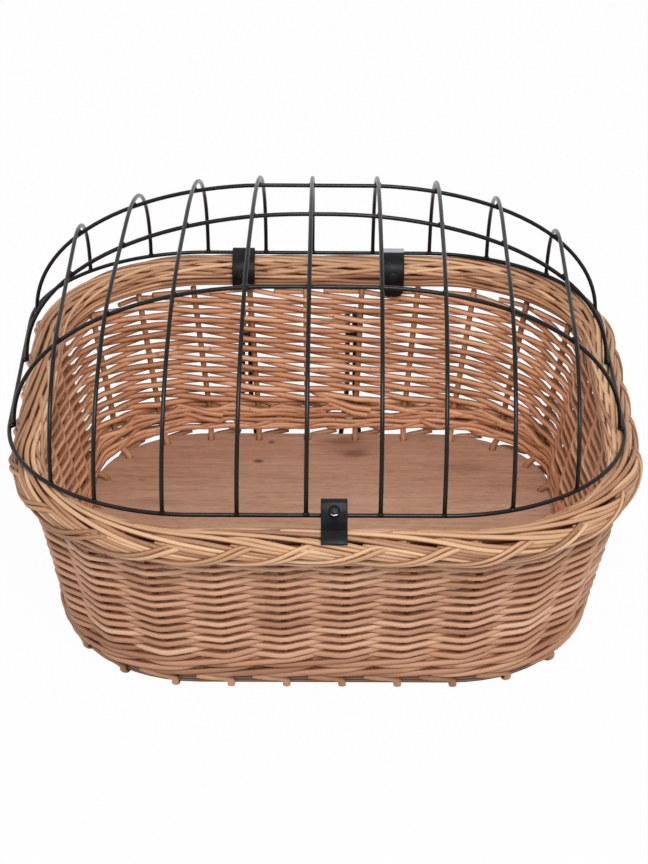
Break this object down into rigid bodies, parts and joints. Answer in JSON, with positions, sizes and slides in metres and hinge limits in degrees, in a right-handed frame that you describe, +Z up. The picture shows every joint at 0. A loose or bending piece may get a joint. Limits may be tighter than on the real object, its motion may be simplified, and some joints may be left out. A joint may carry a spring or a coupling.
{
  "type": "bicycle basket",
  "caption": "Rounded rectangular willow bicycle basket with a plywood base, plaited rim, strapped-on hinged domed wire lid and two handlebar hooks at the back.",
  "frame": {"origin": "middle of the underside of the base board", "axes": "+Z up, +X to the right seen from the front, the front faces -Y, the hooks and the lid's hinge are at +Y"},
  "size_m": [0.5029, 0.4582, 0.327],
  "materials": {
    "plywood": "reddish brown plywood, sawn edge with its layers showing",
    "willow_stake": "buff willow rod, satin",
    "willow_weave": "woven buff willow rods, satin",
    "willow_border": "plaited buff willow rods, satin",
    "black_wire": "black powder coat, satin",
    "black_hook": "black coated wire, satin",
    "black_leather": "black leather, smooth grain, cut edges",
    "stud_metal": "black-plated press stud, glossy"
  },
  "bodies": {
    "basket": {"base_board": "plywood", "bottom_wale": "willow_weave", "handlebar_hook_left": "black_hook", "handlebar_hook_right": "black_hook", "plaited_border": "willow_border", "rear_strap_left": "black_leather", "rear_strap_right": "black_leather", "rear_stud_left": "stud_metal", "rear_stud_right": "stud_metal", "side_weave": "willow_weave", "stake_01": "willow_stake", "stake_02": "willow_stake", "stake_03": "willow_stake", "stake_04": "willow_stake", "stake_05": "willow_stake", "stake_06": "willow_stake", "stake_07": "willow_stake", "stake_08": "willow_stake", "stake_09": "willow_stake", "stake_10": "willow_stake", "stake_11": "willow_stake", "stake_12": "willow_stake", "stake_13": "willow_stake", "stake_14": "willow_stake", "stake_15": "willow_stake", "stake_16": "willow_stake", "stake_17": "willow_stake", "stake_18": "willow_stake", "stake_19": "willow_stake", "stake_20": "willow_stake", "stake_21": "willow_stake", "stake_22": "willow_stake", "stake_23": "willow_stake", "stake_24": "willow_stake", "stake_25": "willow_stake", "stake_26": "willow_stake", "stake_27": "willow_stake", "stake_28": "willow_stake", "stake_29": "willow_stake", "stake_30": "willow_stake"},
    "lid": {"cross_bow_1": "black_wire", "cross_bow_2": "black_wire", "cross_bow_3": "black_wire", "cross_bow_4": "black_wire", "cross_bow_5": "black_wire", "cross_bow_6": "black_wire", "cross_bow_7": "black_wire", "cross_bow_8": "black_wire", "cross_bow_9": "black_wire", "lid_hoop": "black_wire", "long_bow_front": "black_wire", "long_bow_middle": "black_wire", "long_bow_rear": "black_wire"},
    "front_strap": {"front_strap": "black_leather", "front_stud": "stud_metal"}
  },
  "joints": [
    {"name": "lid_hinge", "type": "hinge", "parent": "basket", "child": "lid", "pos_m": [0, 0.212, 0.18], "axis": [-1, 0, 0], "range_deg": [0, 110]},
    {"name": "front_strap_swing", "type": "hinge", "parent": "lid", "child": "front_strap", "pos_m": [0, -0.189, 0.18], "axis": [-1, 0, 0], "range_deg": [0, 110]}
  ]
}
